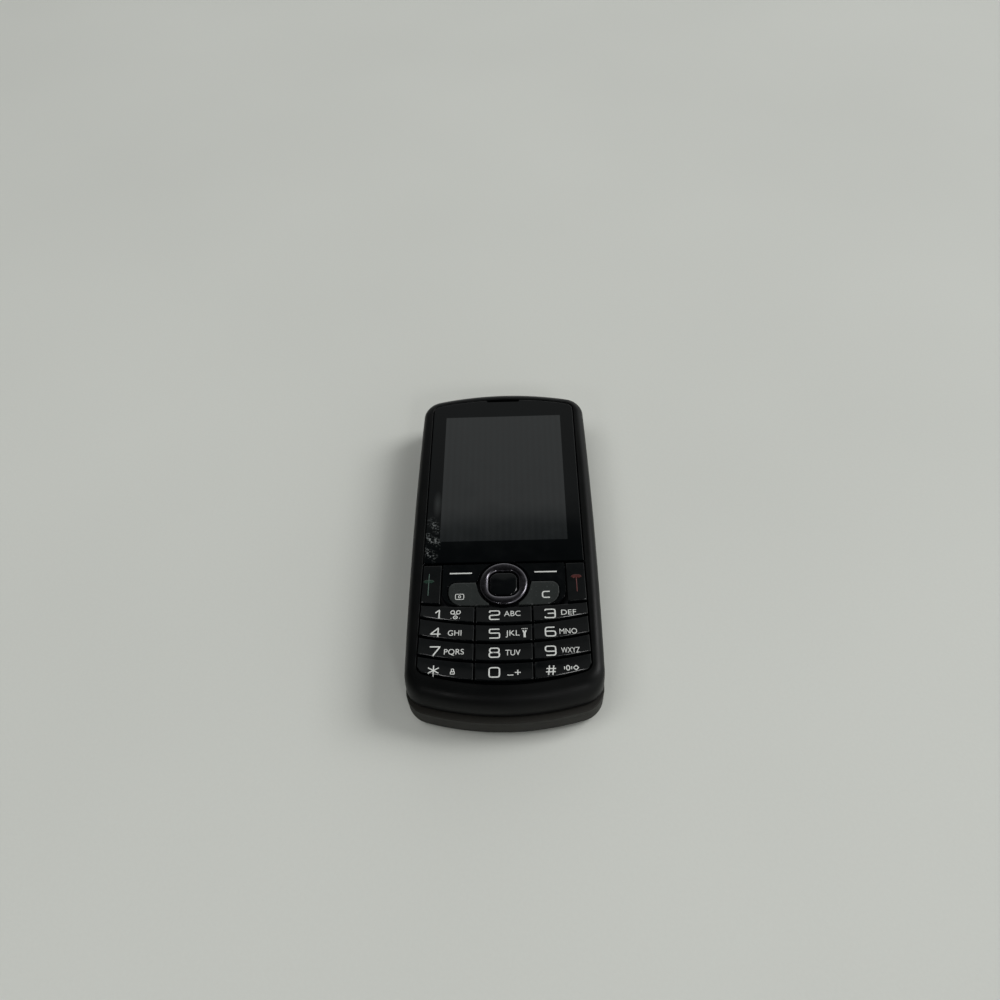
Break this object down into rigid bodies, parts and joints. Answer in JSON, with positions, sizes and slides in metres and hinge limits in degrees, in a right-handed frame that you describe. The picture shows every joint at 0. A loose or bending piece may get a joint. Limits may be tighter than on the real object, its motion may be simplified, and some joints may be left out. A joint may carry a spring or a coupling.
{
  "type": "slider phone",
  "caption": "Bar-shaped phone in two layers; the display half with its number pad slides sideways over a base half with a letter keypad.",
  "frame": {"origin": "on the plane that the phone lies on, under the middle of the base half's length and width", "axes": "+Z out of the screen, +Y towards the earpiece, +X to the right of the screen, which is the way that the display half slides"},
  "size_m": [0.0533, 0.1124, 0.0156],
  "materials": {
    "front_plastic": "fine matte black moulding",
    "base_plastic": "satin dark grey coated moulding",
    "rocker_plastic": "satin black moulding",
    "window_glass": "polished, printed black behind",
    "lcd_panel": "switched-off display, grey",
    "key_gloss": "gloss black keycap with off-white legend",
    "key_plate": "gloss grey keycap",
    "ring_metal": "dark metallised",
    "steel": "stamped steel",
    "contact_gold": "gold-plated contacts in a black block",
    "socket_plastic": "black moulding",
    "board_laminate": "solder mask",
    "dome_film": "polyester film over steel domes",
    "silicone": "soft silicone",
    "battery_wrap": "printed film wrap",
    "flex_film": "polyimide film"
  },
  "bodies": {
    "base": {"rear_housing": "base_plastic", "deck_frame": "base_plastic", "letter_keymat": "silicone", "main_board": "board_laminate", "shield_can": "steel", "battery": "battery_wrap", "battery_contacts": "contact_gold", "sim_holder": "steel", "memory_card_socket": "steel", "loudspeaker": "steel", "vibration_motor": "steel", "camera_module": "socket_plastic", "camera_window": "window_glass", "headset_socket": "socket_plastic", "charge_socket": "steel", "microphone": "steel", "antenna": "flex_film", "slide_fixed_plate": "steel", "base_screw_1": "steel", "base_screw_2": "steel", "base_screw_3": "steel", "base_screw_4": "steel"},
    "battery_cover": {"battery_cover": "base_plastic"},
    "volume_rocker": {"volume_rocker": "rocker_plastic"},
    "display_half": {"front_bezel": "front_plastic", "display_window": "window_glass", "display_panel": "lcd_panel", "earpiece": "steel", "earpiece_mesh": "front_plastic", "keypad_board": "board_laminate", "dome_sheet": "dome_film", "keypad_mat": "silicone", "slide_back_cover": "front_plastic", "slide_moving_plate": "steel", "slide_spring": "steel", "slide_flex": "flex_film"},
    "nav_plunger_plate": {"nav_plunger_plate": "silicone"},
    "nav_ring": {"nav_ring": "ring_metal"},
    "key_1": {"key_1": "key_gloss"},
    "key_2": {"key_2": "key_gloss"},
    "key_3": {"key_3": "key_gloss"},
    "key_4": {"key_4": "key_gloss"},
    "key_5": {"key_5": "key_gloss"},
    "key_6": {"key_6": "key_gloss"},
    "key_7": {"key_7": "key_gloss"},
    "key_8": {"key_8": "key_gloss"},
    "key_9": {"key_9": "key_gloss"},
    "key_star": {"key_star": "key_gloss"},
    "key_0": {"key_0": "key_gloss"},
    "key_hash": {"key_hash": "key_gloss"},
    "send_key": {"send_key": "key_gloss"},
    "end_key": {"end_key": "key_gloss"},
    "soft_key_left": {"soft_key_left": "key_gloss"},
    "soft_key_right": {"soft_key_right": "key_gloss"},
    "camera_key": {"camera_key": "key_plate"},
    "clear_key": {"clear_key": "key_plate"},
    "centre_key": {"centre_key": "key_gloss"}
  },
  "joints": [
    {"name": "display_slide", "type": "slide", "parent": "base", "child": "display_half", "axis": [1, 0, 0], "range_m": [0, 0.027], "deforming": ["slide_spring", "slide_flex"]},
    {"name": "battery_cover_slide", "type": "slide", "parent": "base", "child": "battery_cover", "axis": [0, -1, 0], "range_m": [0, 0.01]},
    {"name": "volume_rocker_tilt", "type": "hinge", "parent": "base", "child": "volume_rocker", "pos_m": [0.0245, 0.03388, 0.0042], "axis": [0, 0, 1], "range_deg": [-2, 2], "stiffness_Nm_per_rad": 0.25},
    {"name": "nav_tilt_sideways", "type": "hinge", "parent": "display_half", "child": "nav_plunger_plate", "pos_m": [0, -0.01898, 0.0133], "axis": [0, 1, 0], "range_deg": [-2.3, 2.3], "stiffness_Nm_per_rad": 0.2},
    {"name": "nav_tilt_lengthways", "type": "hinge", "parent": "nav_plunger_plate", "child": "nav_ring", "pos_m": [0, -0.01898, 0.0133], "axis": [1, 0, 0], "range_deg": [-2.3, 2.3], "stiffness_Nm_per_rad": 0.2},
    {"name": "key_1_press", "type": "slide", "parent": "display_half", "child": "key_1", "axis": [0, 0, -1], "range_m": [0, 0.0003], "stiffness_N_per_m": 2000},
    {"name": "key_2_press", "type": "slide", "parent": "display_half", "child": "key_2", "axis": [0, 0, -1], "range_m": [0, 0.0003], "stiffness_N_per_m": 2000},
    {"name": "key_3_press", "type": "slide", "parent": "display_half", "child": "key_3", "axis": [0, 0, -1], "range_m": [0, 0.0003], "stiffness_N_per_m": 2000},
    {"name": "key_4_press", "type": "slide", "parent": "display_half", "child": "key_4", "axis": [0, 0, -1], "range_m": [0, 0.0003], "stiffness_N_per_m": 2000},
    {"name": "key_5_press", "type": "slide", "parent": "display_half", "child": "key_5", "axis": [0, 0, -1], "range_m": [0, 0.0003], "stiffness_N_per_m": 2000},
    {"name": "key_6_press", "type": "slide", "parent": "display_half", "child": "key_6", "axis": [0, 0, -1], "range_m": [0, 0.0003], "stiffness_N_per_m": 2000},
    {"name": "key_7_press", "type": "slide", "parent": "display_half", "child": "key_7", "axis": [0, 0, -1], "range_m": [0, 0.0003], "stiffness_N_per_m": 2000},
    {"name": "key_8_press", "type": "slide", "parent": "display_half", "child": "key_8", "axis": [0, 0, -1], "range_m": [0, 0.0003], "stiffness_N_per_m": 2000},
    {"name": "key_9_press", "type": "slide", "parent": "display_half", "child": "key_9", "axis": [0, 0, -1], "range_m": [0, 0.0003], "stiffness_N_per_m": 2000},
    {"name": "key_star_press", "type": "slide", "parent": "display_half", "child": "key_star", "axis": [0, 0, -1], "range_m": [0, 0.0003], "stiffness_N_per_m": 2000},
    {"name": "key_0_press", "type": "slide", "parent": "display_half", "child": "key_0", "axis": [0, 0, -1], "range_m": [0, 0.0003], "stiffness_N_per_m": 2000},
    {"name": "key_hash_press", "type": "slide", "parent": "display_half", "child": "key_hash", "axis": [0, 0, -1], "range_m": [0, 0.0003], "stiffness_N_per_m": 2000},
    {"name": "send_key_press", "type": "slide", "parent": "display_half", "child": "send_key", "axis": [0, 0, -1], "range_m": [0, 0.0003], "stiffness_N_per_m": 2000},
    {"name": "end_key_press", "type": "slide", "parent": "display_half", "child": "end_key", "axis": [0, 0, -1], "range_m": [0, 0.0003], "stiffness_N_per_m": 2000},
    {"name": "soft_key_left_press", "type": "slide", "parent": "display_half", "child": "soft_key_left", "axis": [0, 0, -1], "range_m": [0, 0.0003], "stiffness_N_per_m": 2000},
    {"name": "soft_key_right_press", "type": "slide", "parent": "display_half", "child": "soft_key_right", "axis": [0, 0, -1], "range_m": [0, 0.0003], "stiffness_N_per_m": 2000},
    {"name": "camera_key_press", "type": "slide", "parent": "display_half", "child": "camera_key", "axis": [0, 0, -1], "range_m": [0, 0.0003], "stiffness_N_per_m": 2000},
    {"name": "clear_key_press", "type": "slide", "parent": "display_half", "child": "clear_key", "axis": [0, 0, -1], "range_m": [0, 0.0003], "stiffness_N_per_m": 2000},
    {"name": "centre_key_press", "type": "slide", "parent": "display_half", "child": "centre_key", "axis": [0, 0, -1], "range_m": [0, 0.0003], "stiffness_N_per_m": 2000}
  ]
}
